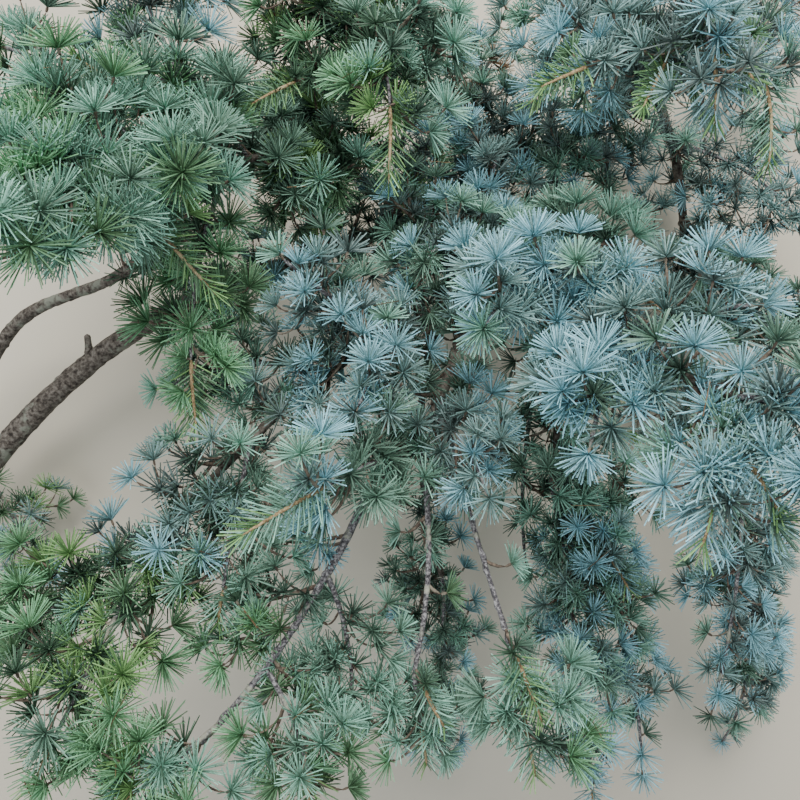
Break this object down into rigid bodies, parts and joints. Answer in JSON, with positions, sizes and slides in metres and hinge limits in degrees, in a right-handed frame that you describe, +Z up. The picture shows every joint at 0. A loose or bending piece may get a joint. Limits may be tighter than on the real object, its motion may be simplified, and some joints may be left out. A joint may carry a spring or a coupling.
{
  "type": "cedar bough",
  "caption": "Cut bough of a blue cedar, lying on the floor: tapering grey limbs with drooping sprays of blue-green needle tufts.",
  "frame": {"origin": "the middle of the bough's outline, on the floor that it lies on", "axes": "+X along the bough from its cut end, +Z up from the floor"},
  "size_m": [1.2704, 1.0686, 0.6592],
  "materials": {
    "bark": "rough grey-brown bark",
    "needles_blue": "waxy pale blue-grey needles",
    "needles_teal": "waxy blue-green needles",
    "needles_green": "matt green needles"
  },
  "bodies": {
    "root": {"back_limb": "bark", "back_spray_1": "needles_blue", "back_spray_2": "needles_green", "bare_spray_1": "needles_teal", "bare_spray_2": "needles_green", "bare_spray_3": "needles_green", "bare_twig": "bark", "centre_limb": "bark", "centre_spray_1": "needles_teal", "centre_spray_2": "needles_blue", "centre_spray_3": "needles_teal", "drooping_limb": "bark", "drooping_spray_1": "needles_blue", "drooping_spray_2": "needles_blue", "drooping_spray_3": "needles_teal", "drooping_spray_4": "needles_teal", "drooping_spray_5": "needles_green", "drooping_spray_6": "needles_green", "far_limb": "bark", "far_spray_1": "needles_blue", "far_spray_2": "needles_blue", "far_spray_3": "needles_blue", "fork_spray_1": "needles_teal", "fork_twig": "bark", "high_limb": "bark", "high_spray_1": "needles_blue", "high_spray_2": "needles_teal", "high_spray_3": "needles_blue", "left_limb": "bark", "left_spray_1": "needles_teal", "left_spray_2": "needles_blue", "low_limb": "bark", "low_spray_1": "needles_teal", "main_limb": "bark", "main_spray_1": "needles_green", "main_spray_2": "needles_teal", "main_spray_3": "needles_blue", "main_spray_4": "needles_blue", "near_limb": "bark", "near_spray_1": "needles_teal", "near_spray_2": "needles_teal", "near_spray_3": "needles_teal", "near_spray_4": "needles_green", "right_limb": "bark", "right_spray_1": "needles_blue", "right_spray_2": "needles_blue", "right_spray_3": "needles_blue", "right_spray_4": "needles_blue", "right_spray_5": "needles_blue", "right_spray_6": "needles_blue", "shaded_limb": "bark", "shaded_spray_1": "needles_teal", "shaded_spray_2": "needles_blue", "shaded_spray_3": "needles_blue", "tip_spray_1": "needles_teal", "tip_twig": "bark", "upper_limb": "bark", "upper_spray_1": "needles_green", "upper_spray_2": "needles_green", "upper_spray_3": "needles_green"}
  },
  "joints": []
}
